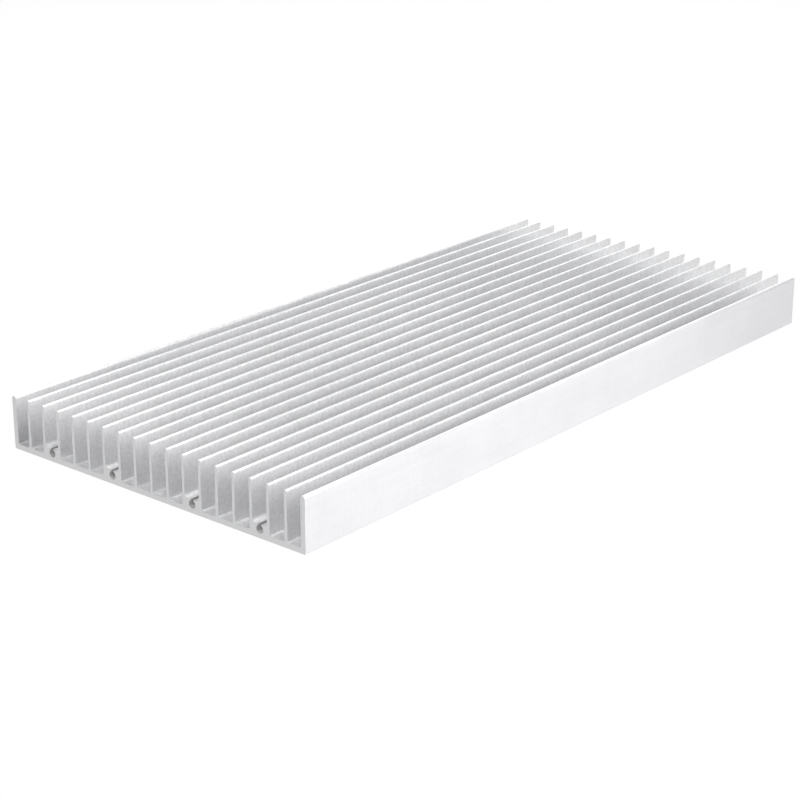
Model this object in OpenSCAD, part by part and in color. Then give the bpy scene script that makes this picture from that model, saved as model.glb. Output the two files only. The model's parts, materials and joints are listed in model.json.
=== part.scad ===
// Extruded aluminium heat sink: one length of a finned bar, cut square at both
// ends. X runs across the fins, Y along them and Z up. The origin is at the
// middle of the underside. All sizes are in millimetres.

/* [Overall size] */
// Length of the cut bar, along the fins
length = 300; // [60:1:600]
// Width over the two side walls
width = 140; // [112:1:200]
// Height from the underside to the fin tips
height = 20; // [14:0.5:40]

/* [Base plate] */
// Thickness of the plate under the open channels
base_t = 2; // [1.2:0.1:4]
// Radius of the two long lower edges
foot_r = 0.4; // [0.1:0.05:1]

/* [Side walls] */
// Thickness of each side wall, which has a full round tip
wall_t = 2; // [1.4:0.1:3.5]

/* [Fins] */
// Number of upright walls, with the two side walls counted in
wall_count = 19; // [15:2:23]
// Thickness of each inner fin, which has a full round tip
fin_t = 1.2; // [0.8:0.05:1.8]
// Clear width of the outermost channel, beside each side wall
end_channel_w = 5.8; // [3:0.1:8]
// Fillet where an upright wall meets the plate
root_r = 0.5; // [0.1:0.05:0.7]

/* [Screw ports] */
// Channel that holds the outer port, counted in from each side wall
outer_port_channel = 3; // [2:1:4]
// Channel that holds the inner port, counted in from each side wall
inner_port_channel = 7; // [5:1:7]
// Diameter of the round passage that a self-tapping screw cuts into
port_d = 3; // [2:0.1:3.6]
// Metal left under the passage
port_floor = 1.7; // [1:0.1:3]
// Metal left over the passage
port_cover = 0.3; // [0.3:0.05:1.2]
// Fillet between the top of a port and the fins beside it
port_root_r = 1.2; // [0.3:0.05:1.4]
// Width of the slit that opens the passage upwards
port_slit_w = 1.2; // [0.6:0.1:1.6]
// Radius of the two edges of the slit
port_lip_r = 0.2; // [0.05:0.05:0.25]

/* [Hidden] */
$fn = 96;
// Overlap that joins the shapes of the section
weld = 0.2;

// Fins stand at equal steps between the two outermost channels
fin_count = wall_count - 2;
fin_span = width - 2 * (wall_t + end_channel_w) - fin_t;
fin_pitch = fin_span / (fin_count - 1);
channel_w = fin_pitch - fin_t;

// Levels of a port's passage and of its top
port_z = port_floor + port_d / 2;
port_top = port_floor + port_d + port_cover;

// Centre line of fin i, counted from the left
function fin_x(i) = -fin_span / 2 + (i - 1) * fin_pitch;

// Centre line of a channel that lies between two fins. Number 1 is the
// outermost channel, so channel 2 is the one after the first fin.
function channel_x(number) = (fin_x(number - 1) + fin_x(number)) / 2;

// Draws its children as they are, and again mirrored to the other side
module both_sides() {
    for (side = [0, 1])
        mirror([side, 0])
            children();
}

// Rectangle of width w, centred on X = 0, from level z1 up to level z2
module upright(w, z1, z2) {
    translate([-w / 2, z1])
        square([w, z2 - z1]);
}

// Web of thickness w that rises from the plate and ends in a full round tip
module round_tipped_web(w) {
    upright(w, base_t - weld, height - w / 2);
    translate([0, height - w / 2])
        circle(d = w);
}

// Area between the corner at the origin and the arc that rounds it. Added in
// an inner corner it is a fillet, and cut from an outer corner it rounds it.
module corner(r) {
    difference() {
        translate([-weld, -weld])
            square(r + weld);
        translate([r, r])
            circle(r = r);
    }
}

// Plate between the two side walls, with its long lower edges rounded
module base_plate() {
    difference() {
        upright(width, 0, base_t);
        both_sides()
            translate([-width / 2, 0])
                corner(foot_r);
    }
}

// Side wall on the left, flush with the end of the plate, with a fillet at
// the inner side of its foot
module side_wall() {
    translate([(wall_t - width) / 2, 0]) {
        round_tipped_web(wall_t);
        translate([wall_t / 2, base_t])
            corner(root_r);
    }
}

// One inner fin, with a fillet at each side of its foot
module fin() {
    round_tipped_web(fin_t);
    both_sides()
        translate([fin_t / 2, base_t])
            corner(root_r);
}

// Block between two fins that holds a passage, blended into both fins
module port_block() {
    upright(channel_w + 2 * weld, base_t - weld, port_top);
    both_sides()
        translate([-channel_w / 2, port_top])
            corner(port_root_r);
}

// Round passage, and the slit above it with its rounded edges
module port_passage() {
    translate([0, port_z])
        circle(d = port_d);
    upright(port_slit_w, port_z, port_top + weld);
    both_sides()
        translate([port_slit_w / 2, port_top])
            mirror([0, 1])
                corner(port_lip_r);
}

// Places its children in the four channels that hold a screw port
module at_ports() {
    for (number = [outer_port_channel, inner_port_channel])
        both_sides()
            translate([channel_x(number), 0])
                children();
}

// Cross-section of the bar, with X across and Y up
module section() {
    difference() {
        union() {
            base_plate();
            both_sides()
                side_wall();
            for (i = [1:fin_count])
                translate([fin_x(i), 0])
                    fin();
            at_ports()
                port_block();
        }
        at_ports()
            port_passage();
    }
}

// The whole bar, in one piece
module heat_sink() {
    color("silver")
        translate([0, length / 2, 0])
            rotate([90, 0, 0])
                linear_extrude(height = length)
                    section();
}

heat_sink();
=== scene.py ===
import json
import math

import bmesh
import bpy
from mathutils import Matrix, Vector


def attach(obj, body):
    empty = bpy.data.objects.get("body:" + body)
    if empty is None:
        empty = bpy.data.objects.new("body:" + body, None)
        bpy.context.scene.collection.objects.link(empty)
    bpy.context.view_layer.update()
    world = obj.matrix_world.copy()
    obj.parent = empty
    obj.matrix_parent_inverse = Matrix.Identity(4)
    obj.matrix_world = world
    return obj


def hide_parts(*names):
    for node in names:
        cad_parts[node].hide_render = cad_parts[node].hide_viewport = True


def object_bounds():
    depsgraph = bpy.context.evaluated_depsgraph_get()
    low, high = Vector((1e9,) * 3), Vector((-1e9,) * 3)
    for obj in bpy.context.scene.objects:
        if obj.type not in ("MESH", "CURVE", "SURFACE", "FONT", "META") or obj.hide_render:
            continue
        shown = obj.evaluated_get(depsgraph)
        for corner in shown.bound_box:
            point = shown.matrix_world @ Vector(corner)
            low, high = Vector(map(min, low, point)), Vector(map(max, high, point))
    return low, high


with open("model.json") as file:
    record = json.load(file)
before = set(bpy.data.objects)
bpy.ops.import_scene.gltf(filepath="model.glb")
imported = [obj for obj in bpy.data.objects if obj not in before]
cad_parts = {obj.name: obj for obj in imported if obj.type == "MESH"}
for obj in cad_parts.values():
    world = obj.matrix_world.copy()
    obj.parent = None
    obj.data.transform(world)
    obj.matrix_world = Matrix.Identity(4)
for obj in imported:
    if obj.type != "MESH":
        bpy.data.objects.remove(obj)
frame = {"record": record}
cad_low, cad_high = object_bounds()

MM = 0.001

# Every opening in the record stands this far inside the walls of its channel
OPENING_GAP = 0.3 * MM
# and this far above the channel's floor: the plate, or the top of a screw port
PLATE_GAP = 0.3 * MM
PORT_GAP = 0.6 * MM

# Radii of the section's edges. Fins and side walls have full round tips.
ROOT_R = 0.5 * MM
PORT_ROOT_R = 1.2 * MM
PORT_LIP_R = 0.2 * MM
FOOT_R = 0.4 * MM
# Width of the slit that opens a screw port upwards
PORT_SLIT_W = 1.2 * MM

# How near a face or an edge must be to the place where it is looked for
NEAR = 0.01 * MM
# How squarely a face must look along an axis to count as facing that way
FACING = 0.9
# Corners closer than this are one corner
SAME = 0.001 * MM

# Facets round each rounded edge, and round the passage of a screw port
FIN_TIP_FACETS = 6
WALL_TIP_FACETS = 8
ROOT_FACETS = 5
PORT_ROOT_FACETS = 8
PORT_LIP_FACETS = 3
FOOT_FACETS = 5
PASSAGE_FACETS = 64
# Facets that meet at less than this angle are shaded as one round surface
SMOOTH_ANGLE = math.radians(40)

# How far a cutter reaches past the ends of the bar and past the top of a port
CUTTER_OVERRUN = 1 * MM


# ---------------------------------------------------------------- the section

def read_channels():
    """The open channels from left to right: left wall, right wall and floor level."""
    channels = []
    for opening in frame["record"]["physics"]["openings"]:
        low, high = opening["box_m"]
        over_port = "port" in opening["holds"]
        floor = low[2] - (PORT_GAP if over_port else PLATE_GAP)
        channels.append((low[0] - OPENING_GAP, high[0] + OPENING_GAP, floor))
    return sorted(channels)


def read_ports():
    """Centre height and radius of the screw passages."""
    for mount in frame["record"]["mounts"]:
        if mount["kind"] == "bolt_pattern":
            return mount["pos_m"][2], mount["dims"]["hole_r_mm"] * MM
    raise ValueError("the record holds no screw port")


CHANNELS = read_channels()
PORT_Z, PORT_R = read_ports()
PLATE_T = min(floor for left, right, floor in CHANNELS)
PORT_TOP = max(floor for left, right, floor in CHANNELS)
PORT_CHANNELS = [channel for channel in CHANNELS if channel[2] > PLATE_T + NEAR]
WALL_T = CHANNELS[0][0] - cad_low.x
FIN_T = CHANNELS[1][0] - CHANNELS[0][1]


# ------------------------------------------------------- working in edit mode

def deselect_everything():
    if bpy.context.mode != "OBJECT":
        bpy.ops.object.mode_set(mode="OBJECT")
    bpy.ops.object.select_all(action="DESELECT")


def start_editing(piece):
    deselect_everything()
    piece.select_set(True)
    bpy.context.view_layer.objects.active = piece
    bpy.ops.object.mode_set(mode="EDIT")


def stop_editing():
    bpy.ops.object.mode_set(mode="OBJECT")


def select_faces(piece, wanted):
    """Selects the faces for which wanted(face) holds, and nothing else."""
    bpy.ops.mesh.select_mode(type="FACE")
    bpy.ops.mesh.select_all(action="DESELECT")
    mesh = bmesh.from_edit_mesh(piece.data)
    for face in mesh.faces:
        face.select_set(wanted(face))
    bmesh.update_edit_mesh(piece.data)


def select_long_edges(piece, places):
    """Selects the edges that run along the bar at the given (x, z) places."""
    bpy.ops.mesh.select_mode(type="EDGE")
    bpy.ops.mesh.select_all(action="DESELECT")
    mesh = bmesh.from_edit_mesh(piece.data)
    for edge in mesh.edges:
        a, b = (vert.co for vert in edge.verts)
        along = abs(a.x - b.x) < NEAR and abs(a.z - b.z) < NEAR
        if along and any(abs(a.x - x) < NEAR and abs(a.z - z) < NEAR for x, z in places):
            edge.select_set(True)
    bmesh.update_edit_mesh(piece.data)


def round_edges(piece, places, radius, segments):
    select_long_edges(piece, places)
    bpy.ops.mesh.bevel(offset=radius, segments=segments, profile=0.5,
                       affect="EDGES", clamp_overlap=False)


def apply_modifier(piece, modifier):
    deselect_everything()
    piece.select_set(True)
    bpy.context.view_layer.objects.active = piece
    bpy.ops.object.modifier_apply(modifier=modifier.name)


def add_block(name, low, high):
    """A cube primitive from its low corner to its high corner."""
    deselect_everything()
    centre = (Vector(low) + Vector(high)) / 2
    bpy.ops.mesh.primitive_cube_add(size=1, location=centre)
    block = bpy.context.active_object
    block.name = name
    block.scale = Vector(high) - Vector(low)
    bpy.ops.object.transform_apply(location=True, rotation=True, scale=True)
    return block


# ------------------------------------------------------------------- the bar

def in_channel(x):
    return any(left < x < right for left, right, floor in CHANNELS)


def in_port_channel(x):
    return any(left < x < right for left, right, floor in PORT_CHANNELS)


def raise_strips(piece, level, height, wanted):
    """Extrudes the strips of the top at one level, where wanted(x), straight up."""
    select_faces(piece, lambda face: face.normal.z > FACING
                 and abs(face.calc_center_median().z - level) < NEAR
                 and wanted(face.calc_center_median().x))
    bpy.ops.mesh.extrude_region_move(TRANSFORM_OT_translate={"value": (0, 0, height)})


def raise_walls(bar):
    """Cuts the plate's top at every channel edge, then pulls up ports, fins and walls."""
    start_editing(bar)
    for left, right, floor in CHANNELS:
        for x in (left, right):
            bpy.ops.mesh.select_all(action="SELECT")
            bpy.ops.mesh.bisect(plane_co=(x, 0, 0), plane_no=(1, 0, 0))
    raise_strips(bar, PLATE_T, PORT_TOP - PLATE_T,
                 lambda x: not in_channel(x) or in_port_channel(x))
    raise_strips(bar, PORT_TOP, cad_high.z - PORT_TOP,
                 lambda x: not in_channel(x))
    stop_editing()


def port_cutter(x):
    """The round passage of one screw port, with the slit above it."""
    front = cad_low.y - CUTTER_OVERRUN
    back = cad_high.y + CUTTER_OVERRUN
    slit = add_block("slit", (x - PORT_SLIT_W / 2, front, PORT_Z),
                     (x + PORT_SLIT_W / 2, back, PORT_TOP + CUTTER_OVERRUN))
    deselect_everything()
    bpy.ops.mesh.primitive_cylinder_add(vertices=PASSAGE_FACETS, radius=PORT_R,
                                        depth=back - front,
                                        location=(x, (front + back) / 2, PORT_Z),
                                        rotation=(math.pi / 2, 0, 0))
    passage = bpy.context.active_object
    bpy.ops.object.transform_apply(location=True, rotation=True, scale=True)
    combine(passage, slit, "UNION")
    return passage


def combine(piece, other, operation):
    """Joins another solid to the piece, or cuts it away, and removes the other."""
    modifier = piece.modifiers.new("combine", "BOOLEAN")
    modifier.operation = operation
    modifier.solver = "EXACT"
    modifier.object = other
    apply_modifier(piece, modifier)
    bpy.data.objects.remove(other, do_unlink=True)


def round_section(bar):
    """Rounds the tips, the feet and the port edges of the section."""
    top = cad_high.z
    fin_tips, roots, port_roots, lips = [], [], [], []
    for channel, next_channel in zip(CHANNELS, CHANNELS[1:]):
        fin_tips += [(channel[1], top), (next_channel[0], top)]
    for left, right, floor in CHANNELS:
        if floor > PLATE_T + NEAR:
            centre = (left + right) / 2
            port_roots += [(left, floor), (right, floor)]
            lips += [(centre - PORT_SLIT_W / 2, floor), (centre + PORT_SLIT_W / 2, floor)]
        else:
            roots += [(left, floor), (right, floor)]
    wall_sides = (cad_low.x, CHANNELS[0][0], CHANNELS[-1][1], cad_high.x)
    wall_tips = [(x, top) for x in wall_sides]
    feet = [(cad_low.x, 0), (cad_high.x, 0)]

    start_editing(bar)
    round_edges(bar, fin_tips, FIN_T / 2 - NEAR, FIN_TIP_FACETS)
    round_edges(bar, wall_tips, WALL_T / 2 - NEAR, WALL_TIP_FACETS)
    round_edges(bar, roots, ROOT_R, ROOT_FACETS)
    round_edges(bar, port_roots, PORT_ROOT_R, PORT_ROOT_FACETS)
    round_edges(bar, lips, PORT_LIP_R, PORT_LIP_FACETS)
    round_edges(bar, feet, FOOT_R, FOOT_FACETS)
    bpy.ops.mesh.select_all(action="SELECT")
    bpy.ops.mesh.remove_doubles(threshold=SAME)
    stop_editing()


def smooth_bar(bar):
    """Smooth over the round edges and flat on the faces between them."""
    deselect_everything()
    bar.select_set(True)
    bpy.context.view_layer.objects.active = bar
    bpy.ops.object.shade_smooth_by_angle(angle=SMOOTH_ANGLE)
    weighted = bar.modifiers.new("face_weights", "WEIGHTED_NORMAL")
    weighted.keep_sharp = True
    weighted.weight = 100
    apply_modifier(bar, weighted)


def is_sawn(face):
    """Whether a face belongs to one of the two ends."""
    return abs(face.normal.y) > FACING


def is_in_port(face):
    """Whether a face belongs to the passage or the slit of a screw port."""
    for left, right, floor in PORT_CHANNELS:
        if abs(face.center.x - (left + right) / 2) < PORT_R + NEAR:
            return PORT_Z - PORT_R - NEAR < face.center.z < PORT_TOP - NEAR
    return False


def is_outer(face):
    """Whether a face belongs to the underside or to the outer half of a side wall."""
    return face.normal.z < -0.5 or abs(face.center.x) > cad_high.x - WALL_T / 2 - NEAR


def finish_faces(bar):
    """Each part of the surface gets the finish that the die or the saw leaves on it, with painted
    light on the fins and painted shade on the outer sides and inside the ports.
    """
    finishes = (
        (fin_aluminium(), lambda face: True),
        (outer_aluminium(), is_outer),
        (port_aluminium(), is_in_port),
        (sawn_aluminium(), is_sawn),
    )
    bar.data.materials.clear()
    for index, (material, belongs) in enumerate(finishes):
        bar.data.materials.append(material)
        for face in bar.data.polygons:
            if belongs(face):
                face.material_index = index


def map_grain(bar):
    """A map whose U runs round the section and whose V runs along the bar."""
    grain = bar.data.uv_layers.new(name="grain")
    for face in bar.data.polygons:
        level = abs(face.normal.z) > abs(face.normal.x)
        for loop in face.loop_indices:
            place = bar.data.vertices[bar.data.loops[loop].vertex_index].co
            grain.data[loop].uv = (place.x if level else place.z, place.y)


def make_bar():
    bar = add_block("finned_bar", (cad_low.x, cad_low.y, 0), (cad_high.x, cad_high.y, PLATE_T))
    raise_walls(bar)
    for left, right, floor in PORT_CHANNELS:
        combine(bar, port_cutter((left + right) / 2), "DIFFERENCE")
    round_section(bar)
    smooth_bar(bar)
    map_grain(bar)
    return bar


# ----------------------------------------------------------------- materials

def new_material(name):
    material = bpy.data.materials.new(name)
    material.use_nodes = True
    nodes = material.node_tree.nodes
    return material, nodes, material.node_tree.links, nodes["Principled BSDF"]


def add_noise(nodes, links, stretch, detail, roughness=0.5):
    """Noise on the piece's own coordinates, in cells per metre along X, Y and Z."""
    place = nodes.new("ShaderNodeTexCoord")
    mapping = nodes.new("ShaderNodeMapping")
    mapping.inputs["Scale"].default_value = stretch
    links.new(place.outputs["Object"], mapping.inputs["Vector"])
    noise = nodes.new("ShaderNodeTexNoise")
    noise.inputs["Scale"].default_value = 1.0
    noise.inputs["Detail"].default_value = detail
    noise.inputs["Roughness"].default_value = roughness
    links.new(mapping.outputs[0], noise.inputs["Vector"])
    return noise.outputs["Fac"]


def remap(nodes, links, value, low, high, to_low, to_high):
    """Spreads the part of a value between low and high over a new range."""
    spread = nodes.new("ShaderNodeMapRange")
    ends = {"From Min": low, "From Max": high, "To Min": to_low, "To Max": to_high}
    for name, number in ends.items():
        spread.inputs[name].default_value = number
    links.new(value, spread.inputs["Value"])
    return spread.outputs["Result"]


def combine_values(nodes, links, operation, first, second):
    math_node = nodes.new("ShaderNodeMath")
    math_node.operation = operation
    for socket, value in zip(math_node.inputs, (first, second)):
        if isinstance(value, float):
            socket.default_value = value
        else:
            links.new(value, socket)
    return math_node.outputs[0]


def mix_colours(nodes, links, share, first, second):
    mix = nodes.new("ShaderNodeMix")
    mix.data_type = "RGBA"
    links.new(share, mix.inputs["Factor"])
    mix.inputs["A"].default_value = (*first, 1)
    mix.inputs["B"].default_value = (*second, 1)
    return mix.outputs["Result"]


def add_bump(nodes, links, shader, height, depth):
    bump = nodes.new("ShaderNodeBump")
    bump.inputs["Distance"].default_value = depth
    links.new(height, bump.inputs["Height"])
    links.new(bump.outputs[0], shader.inputs["Normal"])


# Colours of the metal: clean and handled on the fins and on the smooth outer sides, high and low in
# the saw's marks, and painted shade inside the ports. The fins' copy of the metal is lighter than
# the outer sides': painted light in the shaded channels, painted shade on the more brightly lit
# outer sides.
FIN_METAL = (0.990, 0.990, 0.996)
FIN_HANDLED = (0.864, 0.864, 0.873)
OUTER_METAL = (0.950, 0.945, 0.970)
OUTER_HANDLED = (0.840, 0.835, 0.860)
SAWN_METAL = (0.73, 0.73, 0.735)
SAWN_VALLEY = (0.66, 0.66, 0.67)
# Painted shade: the inside of a port is much darker than the metal outside, standing for the shade
# in the passage.
PORT_SHADED_METAL = (0.62, 0.62, 0.625)
PORT_SHADE = (0.52, 0.52, 0.53)

# Patterns on the extruded metal, in cells per metre along X, Y and Z
DIE_LINES = (2600, 3, 2600)
STREAKS = (450, 2.5, 450)
CHATTER = (25, 900, 25)
SPECKS = (900, 800, 900)
CLOUDS = (45, 38, 45)
PORT_LINES = (1500, 6, 1500)

# How strongly specks show on the fins, and on the smooth outer sides
FIN_MOTTLING = 0.42
OUTER_MOTTLING = 0.1

# Roughness of clean and of handled metal, and how far the lines smear reflections
CLEAN_ROUGHNESS = 0.40
HANDLED_ROUGHNESS = 0.46
SMEAR = 0.95

# Height of the relief on the extruded faces, and of the finer marks in ports and on ends
RELIEF = 0.03 * MM
FINE_RELIEF = 0.01 * MM

# Where the saw's centre lies from the middle of the bar, and how close its arcs are
SAW_CENTRE = (0.05, 0.0, -0.16)
SAW_ARCS = 520.0


def extruded_aluminium(name, clean, handled, mottling):
    """Mill finish: the die's lines run along the bar and smear reflections across it."""
    material, nodes, links, shader = new_material(name)
    shader.inputs["Metallic"].default_value = 1.0
    shader.inputs["Anisotropic"].default_value = SMEAR
    grain = nodes.new("ShaderNodeTangent")
    grain.direction_type = "UV_MAP"
    grain.uv_map = "grain"
    links.new(grain.outputs[0], shader.inputs["Tangent"])

    die_lines = add_noise(nodes, links, DIE_LINES, 3.0)
    streaks = add_noise(nodes, links, STREAKS, 2.0)
    chatter = add_noise(nodes, links, CHATTER, 1.0)
    specks = add_noise(nodes, links, SPECKS, 1.0)
    clouds = add_noise(nodes, links, CLOUDS, 3.0, 0.6)

    # How far the metal is from clean to handled: clouds, streaks, specks and chatter
    share = remap(nodes, links, clouds, 0.42, 0.68, 0.0, 0.25)
    for pattern, low, high, middle, spread in (
        (streaks, 0.35, 0.65, 0.06, 0.06),
        (specks, 0.3, 0.7, 0.35, mottling),
        (chatter, 0.3, 0.7, 0.1, mottling / 3),
    ):
        part = remap(nodes, links, pattern, low, high, middle - spread, middle + spread)
        share = combine_values(nodes, links, "ADD", share, part)
    links.new(mix_colours(nodes, links, share, clean, handled), shader.inputs["Base Color"])
    links.new(remap(nodes, links, share, 0.0, 1.0, CLEAN_ROUGHNESS, HANDLED_ROUGHNESS),
              shader.inputs["Roughness"])

    # Relief of the same patterns
    relief = combine_values(nodes, links, "MULTIPLY", die_lines, 0.15)
    for pattern, depth in ((chatter, 0.8), (specks, 1.0)):
        part = combine_values(nodes, links, "MULTIPLY", pattern, depth)
        relief = combine_values(nodes, links, "ADD", relief, part)
    add_bump(nodes, links, shader, relief, RELIEF)
    return material


def fin_aluminium():
    """Fins and channel floors, which show specks and cross marks from the die, in a lighter copy of
    the metal that is painted light in the shaded channels.
    """
    return extruded_aluminium("fin_aluminium", FIN_METAL, FIN_HANDLED, FIN_MOTTLING)


def outer_aluminium():
    """The outer sides and the underside, which leave the die much smoother, in a darker copy of the
    metal that is painted shade on the brightly lit outer sides.
    """
    return extruded_aluminium("outer_aluminium", OUTER_METAL, OUTER_HANDLED, OUTER_MOTTLING)


def port_aluminium():
    """The inside of a screw port, darkened as painted shade in the passage, with the die's lines
    along it.
    """
    material, nodes, links, shader = new_material("port_aluminium")
    shader.inputs["Metallic"].default_value = 0.5
    shader.inputs["Roughness"].default_value = 0.65
    lines = add_noise(nodes, links, PORT_LINES, 3.0)
    links.new(mix_colours(nodes, links, lines, PORT_SHADED_METAL, PORT_SHADE), shader.inputs["Base Color"])
    add_bump(nodes, links, shader, lines, FINE_RELIEF)
    return material


def sawn_aluminium():
    """Saw-cut ends: fine arcs from the blade, duller than the extruded faces."""
    material, nodes, links, shader = new_material("sawn_aluminium")
    shader.inputs["Metallic"].default_value = 1.0
    place = nodes.new("ShaderNodeTexCoord")
    blade = nodes.new("ShaderNodeMapping")
    blade.inputs["Location"].default_value = SAW_CENTRE
    links.new(place.outputs["Object"], blade.inputs["Vector"])
    arcs = nodes.new("ShaderNodeTexWave")
    arcs.wave_type = "RINGS"
    arcs.rings_direction = "Y"
    arcs.inputs["Scale"].default_value = SAW_ARCS
    arcs.inputs["Distortion"].default_value = 2.0
    arcs.inputs["Detail"].default_value = 3.0
    arcs.inputs["Detail Scale"].default_value = 2.0
    links.new(blade.outputs[0], arcs.inputs["Vector"])
    links.new(mix_colours(nodes, links, arcs.outputs["Fac"], SAWN_VALLEY, SAWN_METAL),
              shader.inputs["Base Color"])
    shader.inputs["Roughness"].default_value = 0.6
    add_bump(nodes, links, shader, arcs.outputs["Fac"], FINE_RELIEF)
    return material


# ------------------------------------------------------------ the white stage

# Share of plain white that the floor and the air show to the eye and in reflections
WHITE_SHARE = 0.98
# Brightness of the room round the bar
ROOM_LIGHT = 0.34

# The floor's own colour and size, and how far it lies below the bar, clear of its underside
FLOOR_COLOUR = (0.9, 0.9, 0.9)
FLOOR_SIZE = 12
FLOOR_DROP = 0.02 * MM


def whiten(nodes, links, surface, output):
    """Mixes plain white into a surface where the camera or a reflection sees it."""
    path = nodes.new("ShaderNodeLightPath")
    seen = combine_values(nodes, links, "MAXIMUM", path.outputs["Is Camera Ray"],
                          path.outputs["Is Glossy Ray"])
    seen = combine_values(nodes, links, "MAXIMUM", seen, path.outputs["Is Transmission Ray"])
    share = combine_values(nodes, links, "MULTIPLY", seen, WHITE_SHARE)
    white = nodes.new("ShaderNodeEmission")
    white.inputs["Strength"].default_value = 1.0
    mix = nodes.new("ShaderNodeMixShader")
    links.new(share, mix.inputs["Fac"])
    links.new(surface, mix.inputs[1])
    links.new(white.outputs[0], mix.inputs[2])
    links.new(mix.outputs[0], output)


def make_floor():
    deselect_everything()
    bpy.ops.mesh.primitive_plane_add(size=FLOOR_SIZE, location=(0, 0, -FLOOR_DROP))
    floor = bpy.context.active_object
    floor.name = "floor"
    material, nodes, links, shader = new_material("white_floor")
    nodes.remove(shader)
    plain = nodes.new("ShaderNodeBsdfDiffuse")
    plain.inputs["Color"].default_value = (*FLOOR_COLOUR, 1)
    whiten(nodes, links, plain.outputs[0], nodes["Material Output"].inputs["Surface"])
    floor.data.materials.append(material)


def make_world():
    """Plain white to the camera, and a softer light for all the rest."""
    world = bpy.data.worlds.new("studio")
    bpy.context.scene.world = world
    world.use_nodes = True
    nodes, links = world.node_tree.nodes, world.node_tree.links
    room = nodes["Background"]
    room.inputs["Color"].default_value = (1, 1, 1, 1)
    path = nodes.new("ShaderNodeLightPath")
    strength = combine_values(nodes, links, "MAXIMUM", path.outputs["Is Camera Ray"], ROOM_LIGHT)
    links.new(strength, room.inputs["Strength"])


def aim(item, target):
    item.rotation_mode = "QUATERNION"
    item.rotation_quaternion = (Vector(target) - item.location).to_track_quat("-Z", "Y")


# Where the camera stands and what it looks at in metres, and its lens in millimetres
CAMERA_PLACE = (0.47985, -0.58968, 0.27907)
CAMERA_TARGET = (0.02043, -0.0451, 0.010)
CAMERA_LENS = 94.17


def make_camera():
    data = bpy.data.cameras.new("camera")
    data.sensor_width = 36
    data.lens = CAMERA_LENS
    data.clip_start = 0.01
    data.clip_end = 50
    camera = bpy.data.objects.new("camera", data)
    bpy.context.scene.collection.objects.link(camera)
    camera.location = CAMERA_PLACE
    aim(camera, CAMERA_TARGET)
    bpy.context.scene.camera = camera


# Light goes back and forth between two fins many times before it comes out
MAX_BOUNCES = 32
GLOSSY_BOUNCES = 24

# Every softbox hangs at this distance from the middle of the bar and faces it
SOFTBOX_REACH = 0.8

# Bearing from +X towards +Y and height over the floor in degrees, width and height in
# metres, and power in watts
SOFTBOXES = {
    "right_low": (42, 14, 0.36, 0.30, 0.70),
    "right_side": (20, 42, 0.35, 0.35, 1.14),
    "right_high": (45, 62, 0.30, 0.30, 2.00),
    "far_low": (101, 14, 0.60, 0.50, 0.58),
    "far_high": (80, 38, 0.30, 0.30, 0.37),
    "left_low": (131, 15, 0.56, 0.50, 1.07),
    "left_high": (121, 38, 0.40, 0.50, 0.56),
    "left_fill": (175, 26, 0.60, 0.40, 0.45),
    "near_fill": (-95, 24, 0.60, 0.40, 0.40),
    "front": (-60, 50, 0.70, 0.70, 4.00),
}


def make_softbox(name, bearing, height, size_x, size_y, power):
    """A rectangular lamp that shines at the middle of the bar, unseen by the camera."""
    data = bpy.data.lights.new(name, "AREA")
    data.shape = "RECTANGLE"
    data.size = size_x
    data.size_y = size_y
    data.energy = power
    lamp = bpy.data.objects.new(name, data)
    bpy.context.scene.collection.objects.link(lamp)
    bearing = math.radians(bearing)
    height = math.radians(height)
    level = SOFTBOX_REACH * math.cos(height)
    lamp.location = (level * math.cos(bearing), level * math.sin(bearing),
                     SOFTBOX_REACH * math.sin(height))
    aim(lamp, (0, 0, cad_high.z / 2))
    lamp.visible_camera = False


bar = make_bar()
finish_faces(bar)
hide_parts("heat_sink")
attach(bar, "root")

make_floor()
make_world()
make_camera()
for name, settings in SOFTBOXES.items():
    make_softbox(name, *settings)
bpy.context.scene.view_settings.view_transform = "Standard"

bpy.context.scene.cycles.max_bounces = MAX_BOUNCES
bpy.context.scene.cycles.glossy_bounces = GLOSSY_BOUNCES
